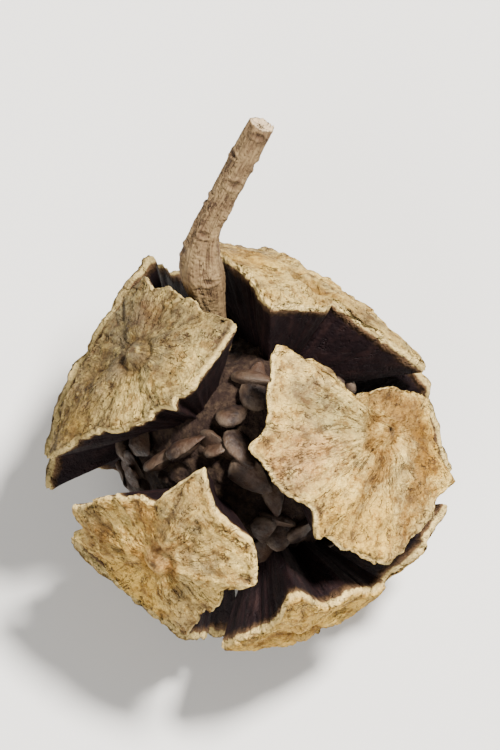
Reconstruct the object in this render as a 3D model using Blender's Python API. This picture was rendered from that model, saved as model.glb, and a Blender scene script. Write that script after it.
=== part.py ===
"""A ripe cypress cone, just opened, lying on one of its scales with its stalk up.

Units are metres and degrees. The cone is modelled upright round its own axis, stalk
up, and then leaned over onto the small flat spot that it rests on. The origin is the
middle of that spot, +Z is up, and the axis leans towards +Y and a little towards -X.
"""

import itertools
import math
import random

import bpy
import bmesh
from mathutils import Matrix, Vector

# The body
CONE_DIAMETER = 0.0274
CONE_LENGTH = 0.0308
CORE_DIAMETER = 0.0164
CORE_SIDES = (20, 12)  # round the axis, from end to end
LEAN = 43.0  # of the axis from upright
LEAN_SIDE = 17.0  # of the way it leans, from +Y towards -X

# The scales stand in crossed pairs, counted from the stalk: the angle from the stalk
# end of the axis, then the azimuth, from the cone's -Y side towards +X. Opposite
# scales have drifted a few degrees from half a turn apart, as they grow.
SCALE_PAIRS = (
    ((36, -67), (38, 99)),
    ((73, 32), (70, 220)),
    ((95, -44), (94, 126)),
    ((145, 6), (143, 180)),
    ((143, -98), (161, 88)),
)
RESTING_SCALE = 7  # the one that faces straight down once the cone has leaned over

# The gaps between the scales' faces
GAP = 0.0037  # half way along a side, where an edge bows in
CORNER_GAP = 0.0020
STALK_CLEARANCE = 0.0023  # kept free round the axis for the stalk
CLEARANCE_STEP = math.radians(0.25)
WAVE_DEPTHS = {4: 0.00030, 7: 0.00022, 11: 0.00012}  # lobes round an edge: depth

# Where drying has drawn an edge back, or left it reaching out where the last number is
# below 0, by scale: the bearing round its face, the half width there, how far.
DRAWN_BACK = {
    0: ((122, 16, 0.0022), (345, 17, 0.0025)),
    1: ((146, 16, 0.0011), (197, 20, 0.0022)),
    2: (
        (22, 18, 0.0010),
        (62, 26, 0.0016),
        (150, 18, 0.0006),
        (214, 24, 0.0019),
        (240, 10, -0.0007),
        (270, 22, -0.0022),
    ),
    4: ((74, 14, 0.0010), (173, 22, 0.0021), (338, 14, 0.0012), (12, 14, -0.0011)),
    6: ((14, 26, 0.0028), (80, 15, 0.0012), (103, 10, -0.0008), (150, 20, -0.0008)),
    8: ((50, 45, 0.0014),),
}

# One scale: a woody shield on a flank that narrows to its root in the core
FACE_FLATNESS = 0.36  # 0 follows the ball, 1 is a flat face
EDGE_DIP = 0.00025
RIM_THICKNESS = 0.0010
UMBO_HEIGHT = 0.00055  # the little boss in the middle of each face
UMBO_SHIFTS = {0: (51, 4), 1: (148, 5), 2: (348, 16), 6: (132, 4)}  # where it is off the middle: bearing, angle
TRIM_DEPTH = 0.00050  # how far the resting scale is worn flat
POINTS_PER_SIDE = 6
# From the boss to the root: share of the edge's angle from the middle, depth
SCALE_RINGS = (
    (0.13, 0.0),
    (0.55, 0.0),
    (0.91, 0.0),
    (1.00, EDGE_DIP),
    (0.985, RIM_THICKNESS),
    (0.93, 0.0025),
    (0.85, 0.0042),
    (0.71, 0.0060),
    (0.60, 0.0078),
)

# The seeds in the gaps
SEED_SIZE = (0.0044, 0.0030, 0.0019)
SEED_SIDES = (6, 4)
SEED_DEPTH = 0.0053  # of a seed's middle below the cone's surface
SEED_DEPTH_JITTER = 0.0004
SEED_PLACES = (0.27, 0.73)  # shares of the way along each gap
SEED_PLACE_JITTER = 0.06
SEED_TURN = 35.0  # the most that a seed is turned from its gap
SEED_TILT = 22.0
SEEDLESS_CAP = 28.0  # no seed this near to the stalk, as an angle from the axis

# The stalk
SEAT_GAP = 0.0003
SEAT_WIDTH = 1.2  # of the flat that the stalk sits on, as a share of its foot
STALK_LENGTH = 0.0200  # from its seat
STALK_BEND = 37.0  # of its outer part from the axis
STALK_BEND_SIDE = 78.0  # the way it bends, as an azimuth like a scale's
STALK_BEND_RADIUS = 0.0080
STALK_RADIUS = 0.00095
STALK_KNOB_RADIUS = 0.00165
STALK_KNOB_SPREAD = 0.0028
STALK_POINTS = 17

RADIUS = CONE_DIAMETER / 2
CORE_RADIUS = CORE_DIAMETER / 2
STRETCH = CONE_LENGTH / CONE_DIAMETER
DRAW_SEED = 7
TOUCHING = 1e-6  # how near two cosines are when a corner is on both of two gaps
FLOOR_BLOCK = (0.040, 0.040, 0.006)  # cuts the flat spot
SMOOTH_UP_TO = 35.0  # the sharpest edge shaded smooth


def unit(polar, azimuth):
    """The unit vector at an angle from the axis and an azimuth from the -Y side."""
    polar, azimuth = math.radians(polar), math.radians(azimuth)
    return Vector(
        (
            math.sin(polar) * math.sin(azimuth),
            -math.sin(polar) * math.cos(azimuth),
            math.cos(polar),
        )
    )


def stretched(point):
    """A point of the ball, moved out along the axis to the cone's full length."""
    return Vector((point.x, point.y, point.z * STRETCH))


def tangents(centre):
    """Two unit vectors that lie on the ball at a scale's middle."""
    across = Vector((0, 0, 1)).cross(centre).normalized()
    return across, centre.cross(across)


def bearing(point, centre):
    """The way from a scale's middle towards a point, as an angle."""
    across, up = tangents(centre)
    return math.atan2(point.dot(up), point.dot(across))


def gap_corners(centre, others):
    """Where the gaps round one scale meet, as unit vectors in order round it."""
    corners = []
    for a, b in itertools.combinations(others, 2):
        meeting = (centre - a).cross(centre - b).normalized()
        if meeting.dot(centre) < 0:
            meeting.negate()
        if all(meeting.dot(centre) > meeting.dot(other) - TOUCHING for other in others):
            corners.append(meeting)
    return sorted(corners, key=lambda corner: bearing(corner, centre))


def half_gap(share):
    """Half the gap, as an angle, at a share of the way along the side of two scales."""
    return (CORNER_GAP + (GAP - CORNER_GAP) * math.sin(math.pi * share)) / 2 / RADIUS


def drawn_back(index, way):
    """How far a scale's edge is drawn back at a bearing, as an angle."""
    total = 0
    for middle, half_width, depth in DRAWN_BACK.get(index, ()):
        apart = math.remainder(way - math.radians(middle), 2 * math.pi)
        total += depth / RADIUS * math.exp(-((apart / math.radians(half_width)) ** 2))
    return total


def edge_of_scale(index, centres):
    """The edge of one scale's face, as (bearing, angle from its middle) all round."""
    centre = centres[index]
    others = [c for c in centres if c is not centre]
    draw = random.Random(DRAW_SEED + index)
    phases = {lobes: draw.uniform(0, 2 * math.pi) for lobes in WAVE_DEPTHS}
    corners = gap_corners(centre, others)
    points = []
    for start, end in zip(corners, corners[1:] + corners[:1]):
        for step in range(POINTS_PER_SIDE):
            share = step / POINTS_PER_SIDE
            on_side = start.lerp(end, share).normalized()
            way = bearing(on_side, centre)
            wave = sum(
                depth / RADIUS * (1 + math.sin(lobes * way + phases[lobes])) / 2
                for lobes, depth in WAVE_DEPTHS.items()
            )
            reach = on_side.angle(centre) - half_gap(share) - wave - drawn_back(index, way)
            points.append((way, clear_of_stalk(centre, way, reach)))
    return points


def clear_of_stalk(centre, way, reach):
    """The reach of an edge, drawn back where it would touch the stalk."""
    while place(centre, way, reach, RADIUS).xy.length < STALK_CLEARANCE:
        reach -= CLEARANCE_STEP
    return reach


def place(centre, way, angle, radius):
    """The point at a bearing and an angle from a scale's middle, at that radius."""
    across, up = tangents(centre)
    outward = across * math.cos(way) + up * math.sin(way)
    return (centre * math.cos(angle) + outward * math.sin(angle)) * radius


def face_radius(angle):
    """How far a scale's face is from the cone's middle: flatter than the ball."""
    return RADIUS * (1 - FACE_FLATNESS + FACE_FLATNESS / math.cos(angle))


def toward_umbo(index, centre, share):
    """The middle of the ring at a share of the face: the umbo inside, the scale's outside."""
    way, angle = (math.radians(value) for value in UMBO_SHIFTS.get(index, (0, 0)))
    return place(centre, way, angle * max(1 - share, 0), 1)


def make_scale(index, centres):
    """One scale as a closed mesh: a loft from its face's outline to its root."""
    centre = centres[index]
    edge = edge_of_scale(index, centres)
    mesh = bmesh.new()
    boss = mesh.verts.new(stretched(toward_umbo(index, centre, 0) * (RADIUS + UMBO_HEIGHT)))
    rings = []
    on_face = True
    for share, depth in SCALE_RINGS:
        middle = toward_umbo(index, centre, share) if on_face else centre
        on_face = on_face and depth == 0
        ring = []
        for way, reach in edge:
            out = place(middle, way, reach * share, 1)
            height = face_radius(out.angle(centre)) - depth
            ring.append(mesh.verts.new(stretched(out * height)))
        rings.append(ring)
    count = len(edge)
    for i in range(count):
        mesh.faces.new((boss, rings[0][i], rings[0][(i + 1) % count]))
    for upper, lower in zip(rings, rings[1:]):
        for i in range(count):
            following = (i + 1) % count
            mesh.faces.new((upper[i], lower[i], lower[following], upper[following]))
    mesh.faces.new(reversed(rings[-1]))
    return object_from(mesh, f"scale_{index}")


def make_core():
    """The woody middle that every scale grows from, cut flat where the stalk sits."""
    mesh = bmesh.new()
    bmesh.ops.create_uvsphere(mesh, u_segments=CORE_SIDES[0], v_segments=CORE_SIDES[1], radius=CORE_RADIUS)
    bmesh.ops.scale(mesh, vec=(1, 1, STRETCH), verts=mesh.verts)
    bmesh.ops.bisect_plane(
        mesh,
        geom=mesh.verts[:] + mesh.edges[:] + mesh.faces[:],
        plane_co=(0, 0, seat_height()),
        plane_no=(0, 0, 1),
        clear_outer=True,
    )
    bmesh.ops.holes_fill(mesh, edges=[e for e in mesh.edges if e.is_boundary])
    return object_from(mesh, "core")


def seat_height():
    """Where the stalk sits on the core: high enough to leave a flat as wide as its foot."""
    return STRETCH * math.sqrt(CORE_RADIUS**2 - (SEAT_WIDTH * STALK_KNOB_RADIUS) ** 2)


def make_seeds(centres):
    """Flat seeds half sunk in the core, set along the gap between each two scales."""
    draw = random.Random(DRAW_SEED)
    seeds = []
    for index, centre in enumerate(centres):
        others = [c for c in centres if c is not centre]
        corners = gap_corners(centre, others)
        for start, end in zip(corners, corners[1:] + corners[:1]):
            neighbour = max(others, key=(start + end).dot)
            if centres.index(neighbour) < index:
                continue
            for share in SEED_PLACES:
                share += draw.uniform(-SEED_PLACE_JITTER, SEED_PLACE_JITTER)
                out = start.lerp(end, share).normalized()
                seed = make_seed(out, end - start, draw)
                if out.angle(unit(0, 0)) > math.radians(SEEDLESS_CAP):
                    seeds.append(seed)
                else:
                    bpy.data.objects.remove(seed)
    return seeds


def make_seed(out, along, draw):
    """One seed, its long way turned a little from the gap and its flat side outward."""
    mesh = bmesh.new()
    bmesh.ops.create_uvsphere(mesh, u_segments=SEED_SIDES[0], v_segments=SEED_SIDES[1], radius=0.5)
    bmesh.ops.scale(mesh, vec=SEED_SIZE, verts=mesh.verts)
    side = out.cross(along).normalized()
    frame = Matrix((side.cross(out), side, out)).transposed().to_4x4()
    frame @= Matrix.Rotation(math.radians(draw.uniform(-SEED_TURN, SEED_TURN)), 4, "Z")
    frame @= Matrix.Rotation(math.radians(draw.uniform(-SEED_TILT, SEED_TILT)), 4, "X")
    depth = SEED_DEPTH + draw.uniform(-SEED_DEPTH_JITTER, SEED_DEPTH_JITTER)
    frame.translation = stretched(out * (RADIUS - depth))
    mesh.transform(frame)
    return object_from(mesh, "seed")


def object_from(mesh, name):
    """A mesh object from a bmesh, its faces turned outward."""
    bmesh.ops.recalc_face_normals(mesh, faces=mesh.faces)
    data = bpy.data.meshes.new(name)
    mesh.to_mesh(data)
    mesh.free()
    return bpy.data.objects.new(name, data)


def finish(name, colour, roughness):
    """A plain material with the part's colour."""
    material = bpy.data.materials.new(name)
    material.use_nodes = True
    shader = material.node_tree.nodes["Principled BSDF"]
    shader.inputs["Base Color"].default_value = (*colour, 1)
    shader.inputs["Roughness"].default_value = roughness
    shader.inputs["Metallic"].default_value = 0
    return material


def new_collection(name):
    collection = bpy.data.collections.new(name)
    bpy.context.scene.collection.children.link(collection)
    return collection


def make_floor_cutter(cutters):
    """The block under the floor, which wears the resting scale to a flat spot."""
    bpy.ops.mesh.primitive_cube_add(size=1, location=(0, 0, -FLOOR_BLOCK[2] / 2))
    cutter = bpy.context.object
    cutter.name = "floor_cutter"
    cutter.scale = FLOOR_BLOCK
    bpy.context.collection.objects.unlink(cutter)
    cutters.objects.link(cutter)
    cutter.hide_render = True
    cutter.display_type = "WIRE"
    return cutter


def fill_sealed_gaps(data):
    """Drops every surface but the outside one, so a gap that seeds close off is solid."""
    mesh = bmesh.new()
    mesh.from_mesh(data)
    unseen = set(mesh.verts)
    surfaces = []
    while unseen:
        surface = {unseen.pop()}
        front = list(surface)
        while front:
            linked = [e.other_vert(v) for v in front for e in v.link_edges]
            front = [v for v in set(linked) if v in unseen]
            surface.update(front)
            unseen.difference_update(front)
        surfaces.append(surface)
    outside = max(surfaces, key=len)
    inner = [v for v in mesh.verts if v not in outside]
    bmesh.ops.delete(mesh, geom=inner, context="VERTS")
    mesh.to_mesh(data)
    mesh.free()


def make_cone(collection, pose, cutters):
    """The core with its scales and seeds joined to it, worn flat where it rests."""
    centres = [unit(*angles) for pair in SCALE_PAIRS for angles in pair]
    cone = make_core()
    cone.name = "cone"
    collection.objects.link(cone)
    grown = new_collection("grown_from_the_core")
    for piece in [make_scale(i, centres) for i in range(len(centres))] + make_seeds(centres):
        grown.objects.link(piece)
    join = cone.modifiers.new("join", "BOOLEAN")
    join.operation = "UNION"
    join.operand_type = "COLLECTION"
    join.collection = grown
    join.solver = "EXACT"
    bpy.context.view_layer.update()
    evaluated = cone.evaluated_get(bpy.context.evaluated_depsgraph_get())
    joined = bpy.data.meshes.new_from_object(evaluated)
    cone.modifiers.remove(join)
    fill_sealed_gaps(joined)
    cone.data = joined
    for piece in list(grown.objects):
        bpy.data.objects.remove(piece)
    bpy.data.collections.remove(grown)
    cone.parent = pose
    wear = cone.modifiers.new("worn_flat", "BOOLEAN")
    wear.operation = "DIFFERENCE"
    wear.object = make_floor_cutter(cutters)
    wear.solver = "EXACT"
    return cone


def stalk_point(distance):
    """The middle of the stalk at a distance from its foot: up, round a bend, straight on."""
    rise = RADIUS * STRETCH - seat_height() - SEAT_GAP
    turned = min(max(distance - rise, 0) / STALK_BEND_RADIUS, math.radians(STALK_BEND))
    beyond = max(distance - rise - turned * STALK_BEND_RADIUS, 0)
    out = STALK_BEND_RADIUS * (1 - math.cos(turned)) + beyond * math.sin(turned)
    up = min(distance, rise) + STALK_BEND_RADIUS * math.sin(turned) + beyond * math.cos(turned)
    foot = Vector((0, 0, seat_height() + SEAT_GAP))
    return foot + out * unit(90, STALK_BEND_SIDE) + Vector((0, 0, up))


def stalk_width(distance):
    """The stalk's radius at a distance from its foot, as a share of its plain one."""
    from_knob = (distance - (RADIUS * STRETCH - seat_height())) / STALK_KNOB_SPREAD
    return 1 + (STALK_KNOB_RADIUS / STALK_RADIUS - 1) * math.exp(-(from_knob**2))


def make_stalk(collection, pose):
    """The stalk: a curve up out of its seat that bends over, with a knob at its foot."""
    curve = bpy.data.curves.new("stalk", "CURVE")
    curve.dimensions = "3D"
    curve.bevel_depth = STALK_RADIUS
    curve.bevel_resolution = 2
    curve.use_fill_caps = True
    spline = curve.splines.new("POLY")
    spline.points.add(STALK_POINTS - 1)
    for i, point in enumerate(spline.points):
        distance = STALK_LENGTH * i / (STALK_POINTS - 1)
        point.co = (*stalk_point(distance), 1)
        point.radius = stalk_width(distance)
    stalk = bpy.data.objects.new("stalk", curve)
    collection.objects.link(stalk)
    stalk.parent = pose
    return stalk


def main():
    for obj in list(bpy.data.objects):
        bpy.data.objects.remove(obj)
    collection = new_collection("cypress_cone")
    cutters = new_collection("cutters")
    pose = bpy.data.objects.new("cone_pose", None)
    collection.objects.link(pose)
    pose.rotation_euler = (-math.radians(LEAN), 0, math.radians(LEAN_SIDE))
    resting = stretched(unit(*SCALE_PAIRS[RESTING_SCALE // 2][RESTING_SCALE % 2]) * RADIUS)
    pose.location = (0, 0, resting.length - TRIM_DEPTH)
    cone = make_cone(collection, pose, cutters)
    cone.data.materials.append(finish("woody_scale", (0.40, 0.31, 0.20), 0.8))
    cone.data.shade_smooth()
    cone.data.set_sharp_from_angle(angle=math.radians(SMOOTH_UP_TO))
    stalk = make_stalk(collection, pose)
    stalk.data.materials.append(finish("stalk_bark", (0.47, 0.33, 0.23), 0.75))


if __name__ == "__main__":
    main()
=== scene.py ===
import itertools
import math
import random

import bpy
import numpy as np
from mathutils import Euler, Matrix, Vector, noise


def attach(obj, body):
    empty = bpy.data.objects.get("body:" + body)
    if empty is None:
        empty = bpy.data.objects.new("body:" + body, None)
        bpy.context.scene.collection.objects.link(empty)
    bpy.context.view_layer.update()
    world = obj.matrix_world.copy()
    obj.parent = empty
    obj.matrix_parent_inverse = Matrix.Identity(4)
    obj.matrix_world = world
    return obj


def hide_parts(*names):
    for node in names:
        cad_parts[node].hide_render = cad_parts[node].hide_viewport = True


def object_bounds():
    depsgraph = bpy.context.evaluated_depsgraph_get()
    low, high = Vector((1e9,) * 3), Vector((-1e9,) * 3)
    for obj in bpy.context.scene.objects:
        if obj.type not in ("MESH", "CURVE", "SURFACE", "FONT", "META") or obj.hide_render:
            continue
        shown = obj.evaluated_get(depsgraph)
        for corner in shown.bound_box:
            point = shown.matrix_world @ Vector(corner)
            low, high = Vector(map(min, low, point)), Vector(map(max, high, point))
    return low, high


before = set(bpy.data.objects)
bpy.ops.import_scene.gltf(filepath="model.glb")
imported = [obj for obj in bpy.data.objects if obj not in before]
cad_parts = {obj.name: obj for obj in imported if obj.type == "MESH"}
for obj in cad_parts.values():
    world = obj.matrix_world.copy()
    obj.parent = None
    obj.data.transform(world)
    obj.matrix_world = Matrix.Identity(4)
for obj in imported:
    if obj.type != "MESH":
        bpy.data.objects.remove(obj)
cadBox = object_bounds()
print("frame loaded:", sorted(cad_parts))

# The cone's own sizes, as the solids have them: metres and degrees.
coneShape = {
    "diameter": 0.0274,
    "length": 0.0308,
    "coreDiameter": 0.0164,
    "lean": 43.0,  # of the axis from upright
    "leanSide": 17.0,  # of the way it leans, from +Y towards -X
    "restingScale": 7,
    "trimDepth": 0.0005,  # how far the resting scale is worn flat
    # angle from the stalk end and azimuth of each scale, in crossed pairs
    "scalePairs": (
        ((36, -67), (38, 99)),
        ((73, 32), (70, 220)),
        ((95, -44), (94, 126)),
        ((145, 6), (143, 180)),
        ((143, -98), (161, 88)),
    ),
}
millimetres = 1000  # in a metre
radius = coneShape["diameter"] / 2
stretch = coneShape["length"] / coneShape["diameter"]


def unitVector(polar, azimuth):
    polar, azimuth = math.radians(polar), math.radians(azimuth)
    return np.array([
        math.sin(polar) * math.sin(azimuth),
        -math.sin(polar) * math.cos(azimuth),
        math.cos(polar),
    ])


def normalised(vectors):
    return vectors / np.linalg.norm(vectors, axis=-1, keepdims=True)


def stretched(points):
    return points * np.array([1.0, 1.0, stretch])


centres = np.array([unitVector(*place) for pair in coneShape["scalePairs"] for place in pair])
restPoint = stretched(centres[coneShape["restingScale"]] * radius)
restHeight = np.linalg.norm(restPoint) - coneShape["trimDepth"]
leanTurn = Euler((-math.radians(coneShape["lean"]), 0, math.radians(coneShape["leanSide"])))
leanMatrix = np.array(leanTurn.to_matrix())


def leaned(points):
    # leans the upright cone over onto its flat spot
    return points @ leanMatrix.T + np.array([0, 0, restHeight])


# Nodes. A noise is given by its scale, detail and roughness,
# lines by their scale and width, and a fade by its two ends and its values there.


def setSocket(tree, socket, value):
    if isinstance(value, bpy.types.NodeSocket):
        tree.links.new(value, socket)
    else:
        socket.default_value = value


def byIdentifier(sockets):
    return {socket.identifier: socket for socket in sockets}


def addNode(tree, kind, inputs=None, **settings):
    node = tree.nodes.new(kind)
    for name, value in settings.items():
        setattr(node, name, value)
    for key, value in (inputs or {}).items():
        setSocket(tree, node.inputs[key], value)
    return node


def mathNode(tree, operation, *values, clamp=False):
    inputs = dict(enumerate(values))
    return addNode(tree, "ShaderNodeMath", inputs, operation=operation, use_clamp=clamp).outputs[0]


def times(tree, first, second):
    return mathNode(tree, "MULTIPLY", first, second)


def weighted(tree, *pairs):
    total = times(tree, *pairs[0])
    for value, weight in pairs[1:]:
        total = mathNode(tree, "MULTIPLY_ADD", value, weight, total)
    return total


def vectorMath(tree, operation, first, second=None, scale=None):
    inputs = {0: first}
    if second is not None:
        inputs[1] = second
    if scale is not None:
        inputs["Scale"] = scale
    return addNode(tree, "ShaderNodeVectorMath", inputs, operation=operation).outputs[0]


def combine(tree, x, y, z):
    return addNode(tree, "ShaderNodeCombineXYZ", {0: x, 1: y, 2: z}).outputs[0]


def mapRange(tree, value, low, high, toLow=0.0, toHigh=1.0, smooth=True):
    kind = "SMOOTHSTEP" if smooth else "LINEAR"
    inputs = {0: value, 1: low, 2: high, 3: toLow, 4: toHigh}
    return addNode(tree, "ShaderNodeMapRange", inputs, interpolation_type=kind).outputs[0]


def noiseNode(tree, vector, scale, detail, roughness):
    inputs = {"Vector": vector, "Scale": scale, "Detail": detail, "Roughness": roughness}
    return addNode(tree, "ShaderNodeTexNoise", inputs).outputs


def noiseValue(tree, vector, *noiseShape):
    return noiseNode(tree, vector, *noiseShape)["Fac"]


def centredNoise(tree, vector, *noiseShape):
    return mathNode(tree, "SUBTRACT", noiseValue(tree, vector, *noiseShape), 0.5)


def signedNoise(tree, vector, *noiseShape):
    # noise round 0, mostly between -1 and 1
    return times(tree, centredNoise(tree, vector, *noiseShape), 3.0)


def wanderNoise(tree, vector, *noiseShape):
    # an uneven shift to each side
    shift = noiseNode(tree, vector, *noiseShape)["Color"]
    return vectorMath(tree, "SUBTRACT", shift, (0.5, 0.5, 0.5))


def ridgeLines(tree, vector, scale, width):
    # 1 along thin wandering lines, 0 elsewhere
    value = mathNode(tree, "ABSOLUTE", centredNoise(tree, vector, scale, 2.0, 0.5))
    return mapRange(tree, value, 0.0, width, 1.0, 0.0)


def mixColour(tree, factor, first, second, blend="MIX"):
    node = addNode(tree, "ShaderNodeMix", data_type="RGBA", blend_type=blend)
    sockets = byIdentifier(node.inputs)
    for key, value in (("Factor_Float", factor), ("A_Color", first), ("B_Color", second)):
        setSocket(tree, sockets[key], value)
    return byIdentifier(node.outputs)["Result_Color"]


def newTree(name, kind, inputs, outputs):
    # an input is given by its number, or by its kind of socket
    tree = bpy.data.node_groups.new(name, kind)
    for socketName, value in inputs.items():
        numberKind = "Int" if isinstance(value, int) else "Float"
        socketType = "NodeSocket" + (value if isinstance(value, str) else numberKind)
        socket = tree.interface.new_socket(socketName, in_out="INPUT", socket_type=socketType)
        if not isinstance(value, str):
            socket.default_value = value
    for socketName, socketKind in outputs.items():
        socketType = "NodeSocket" + socketKind
        tree.interface.new_socket(socketName, in_out="OUTPUT", socket_type=socketType)
    given, result = tree.nodes.new("NodeGroupInput"), tree.nodes.new("NodeGroupOutput")
    return tree, given.outputs, result.inputs


# Meshes


def meshPiece(name, points, faces, attributes=None, edges=()):
    data = bpy.data.meshes.new(name)
    data.from_pydata(points.tolist(), list(edges), faces)
    for key, values in (attributes or {}).items():
        values = np.asarray(values, np.float32)
        kind, field = ("FLOAT_VECTOR", "vector") if values.ndim == 2 else ("FLOAT", "value")
        data.attributes.new(key, kind, "POINT").data.foreach_set(field, values.ravel())
    data.shade_smooth()
    piece = bpy.data.objects.new(name, data)
    bpy.context.scene.collection.objects.link(piece)
    return piece


def closedRings(ringCount, around, withApex=True):
    # faces of rings of points stacked under an apex point, with a cap under the last ring
    first = 1 if withApex else 0
    index = first + np.arange(ringCount * around).reshape(ringCount, around)
    upper, lower = index[:-1], index[1:]
    quads = np.stack(
        [upper, lower, np.roll(lower, -1, axis=1), np.roll(upper, -1, axis=1)], axis=-1
    ).reshape(-1, 4)
    faces = quads.tolist()
    if withApex:
        fan = np.stack([np.zeros(around, int), index[0], np.roll(index[0], -1)], axis=-1)
        faces += fan.tolist()
    else:
        faces.append(index[0][::-1].tolist())
    faces.append(index[-1][::-1].tolist() if withApex else index[-1].tolist())
    return faces


def meshPoints(piece):
    points = np.empty(len(piece.data.vertices) * 3, np.float32)
    piece.data.vertices.foreach_get("co", points)
    return points.reshape(-1, 3)


def faceOutward(piece):
    # turns the whole mesh if its volume comes out negative
    data = piece.data
    data.calc_loop_triangles()
    corners = np.empty(len(data.loop_triangles) * 3, np.int32)
    data.loop_triangles.foreach_get("vertices", corners)
    first, second, third = meshPoints(piece)[corners.reshape(-1, 3).T].astype(float)
    if np.einsum("ij,ij->i", first, np.cross(second, third)).sum() < 0:
        data.flip_normals()


def applyTree(piece, tree, values):
    modifier = piece.modifiers.new(tree.name, "NODES")
    modifier.node_group = tree
    identifiers = {s.name: s.identifier for s in tree.interface.items_tree if s.in_out == "INPUT"}
    for key, value in values.items():
        modifier[identifiers[key]] = value
    bpy.context.view_layer.update()
    evaluated = piece.evaluated_get(bpy.context.evaluated_depsgraph_get())
    made = bpy.data.meshes.new_from_object(evaluated)
    piece.modifiers.clear()
    piece.data = made


def finishPiece(piece, standsFor):
    # relief that stands out of the solids' box is pressed back inside it first
    low, high = (np.array(corner) for corner in cadBox)
    boxMargin = 0.00002
    points = np.clip(meshPoints(piece), low + boxMargin * (low < 0), high - boxMargin)
    piece.data.vertices.foreach_set("co", np.asarray(points, np.float32).ravel())
    piece.data.update()
    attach(piece, "root")
    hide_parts(standsFor)


# The outlines of the scales' faces
edgeSettings = {
    "gap": 0.0037,  # half way along a side, where an edge bows in
    "cornerGap": 0.0020,
    "stalkClearance": 0.0023,
    "clearanceStep": 0.25,  # degrees that an edge gives way at a time
    "waveDepths": {4: 0.00030, 7: 0.00022, 11: 0.00012},
    # where drying drew an edge back, by scale: bearing, half width, how far
    "drawnBack": {
        0: ((122, 16, 0.0022), (345, 17, 0.0025)),
        1: ((146, 16, 0.0011), (197, 20, 0.0022)),
        2: ((62, 26, 0.0016), (22, 18, 0.0010), (150, 18, 0.0006),
            (214, 24, 0.0019), (240, 10, -0.0007), (270, 22, -0.0022)),
        4: ((74, 14, 0.0010), (173, 22, 0.0021), (338, 14, 0.0012), (12, 14, -0.0011)),
        6: ((14, 26, 0.0028), (80, 15, 0.0012), (103, 10, -0.0008), (150, 20, -0.0008)),
        8: ((50, 45, 0.0014),),
    },
    "drawSeed": 7,
    "pointsAround": 300,
    "nibbles": ((3.0, 0.00016), (7.0, 0.00012), (15.0, 0.00008)),  # pitch, depth
    "nibbleLevel": 0.5,
    "chipPitch": 5.0,
    "chipDepth": 0.00026,
    "chipLevel": 0.25,  # the share of noise past which an edge is chipped
    # shallow flutes that run out from the boss: pitch, weight, wander on the way out, seed
    "flutes": ((4.6, 2.2, 0.7, 5.7), (10.58, 1.0, 1.0, 4.1)),
    "lobeDepth": 0.00012,  # how far each flute's end stands out of the edge
    "nibbleSeed": 7.3,
    "chipSeeds": (3.1, 50),
    "nearlyEqual": 1e-6,
}


def tangentsAt(centre):
    across = normalised(np.cross([0, 0, 1], centre))
    return across, np.cross(centre, across)


def gapCorners(index):
    # where the gaps round a scale meet, in turn round its middle
    centre, others = centres[index], np.delete(centres, index, axis=0)
    found = []
    for a, b in itertools.combinations(others, 2):
        meeting = normalised(np.cross(centre - a, centre - b))
        if meeting @ centre < 0:
            meeting = -meeting
        if (meeting @ centre > others @ meeting - edgeSettings["nearlyEqual"]).all():
            found.append(meeting)
    across, up = tangentsAt(centre)
    return sorted(found, key=lambda corner: math.atan2(corner @ up, corner @ across))


def gapSides(index):
    corners = gapCorners(index)
    return list(zip(corners, corners[1:] + corners[:1]))


def halfGap(share):
    widest, narrowest = edgeSettings["gap"], edgeSettings["cornerGap"]
    return (narrowest + (widest - narrowest) * np.sin(math.pi * share)) / 2 / radius


def wrapped(angles):
    return (angles + math.pi) % (2 * math.pi) - math.pi


def hump(distance, width):
    return np.exp(-((distance / width) ** 2))


def drawnBack(index, ways):
    total = np.zeros_like(ways)
    for middle, halfWidth, depth in edgeSettings["drawnBack"].get(index, ()):
        apart = wrapped(ways - math.radians(middle))
        total += depth / radius * hump(apart, math.radians(halfWidth))
    return total


def ringNoise(ways, pitch, seed):
    places = zip(pitch * np.cos(ways), pitch * np.sin(ways))
    return np.array([noise.noise(Vector((x, y, seed))) for x, y in places])


def flutesAt(index, ways, share):
    return sum(
        weight * ringNoise(ways, pitch, index * seed + wander * share)
        for pitch, weight, wander, seed in edgeSettings["flutes"]
    )


def placeOn(centre, ways, angles, radii):
    across, up = tangentsAt(centre)
    outward = np.cos(ways)[..., None] * across + np.sin(ways)[..., None] * up
    direction = np.cos(angles)[..., None] * centre + np.sin(angles)[..., None] * outward
    return direction * np.asarray(radii)[..., None]


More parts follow.
